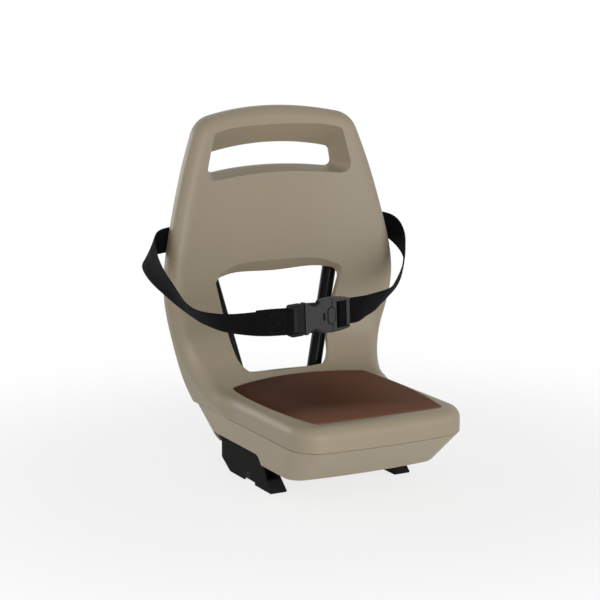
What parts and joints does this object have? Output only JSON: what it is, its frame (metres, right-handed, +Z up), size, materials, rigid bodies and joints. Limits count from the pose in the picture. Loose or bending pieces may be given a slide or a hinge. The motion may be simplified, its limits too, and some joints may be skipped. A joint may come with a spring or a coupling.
{
  "type": "child bike seat",
  "caption": "Moulded child seat for a bicycle rear carrier: curved open backrest with a handle slot, soft pad, hip belt with side-release buckle and rail clamps below.",
  "frame": {"origin": "centre of the tray underside, between the two carrier clamps", "axes": "+Z up, the seat faces -Y, +X to the right when seen from the front"},
  "size_m": [0.3658, 0.3192, 0.4365],
  "materials": {
    "shell_plastic": "satin moulded, fine grain",
    "tray_plastic": "satin moulded, fine grain",
    "pad_cover": "soft matt skin",
    "webbing": "ribbed woven webbing",
    "buckle_plastic": "satin",
    "black_steel": "satin black",
    "black_plastic": "satin",
    "black_screw": "black oxide",
    "liner_rubber": "matt",
    "zinc_steel": "zinc plated"
  },
  "bodies": {
    "seat": {"seat_shell": "shell_plastic", "base_tray": "tray_plastic", "seat_pad": "pad_cover", "tray_screws": "zinc_steel", "mounting_plate": "zinc_steel", "backrest_hoop": "black_steel", "hoop_clips": "zinc_steel", "hoop_clip_screws": "zinc_steel", "plate_straps": "zinc_steel", "plate_strap_bolts": "zinc_steel", "left_strap": "webbing", "right_strap": "webbing", "buckle_socket": "buckle_plastic"},
    "left_clamp": {"left_clamp_channel": "black_steel", "left_rail_liner": "liner_rubber", "left_rail_lock": "black_plastic", "left_clamp_bolts": "zinc_steel", "left_clamp_washers": "zinc_steel", "left_clamp_nuts": "zinc_steel", "left_cross_bolt": "black_screw", "left_lock_nut": "zinc_steel"},
    "right_clamp": {"right_clamp_channel": "black_steel", "right_rail_liner": "liner_rubber", "right_rail_lock": "black_plastic", "right_clamp_bolts": "zinc_steel", "right_clamp_washers": "zinc_steel", "right_clamp_nuts": "zinc_steel", "right_cross_bolt": "black_screw", "right_lock_nut": "zinc_steel"},
    "tongue": {"buckle_tongue": "buckle_plastic"}
  },
  "joints": [
    {"name": "left_clamp_slide", "type": "slide", "parent": "seat", "child": "left_clamp", "axis": [1, 0, 0], "range_m": [0, 0.02]},
    {"name": "right_clamp_slide", "type": "slide", "parent": "seat", "child": "right_clamp", "axis": [-1, 0, 0], "range_m": [0, 0.02]},
    {"name": "buckle_release", "type": "slide", "parent": "seat", "child": "tongue", "axis": [-0.997, -0.0698, -0.0349], "range_m": [0, 0.03], "deforming": ["left_strap", "buckle_tongue"]}
  ]
}
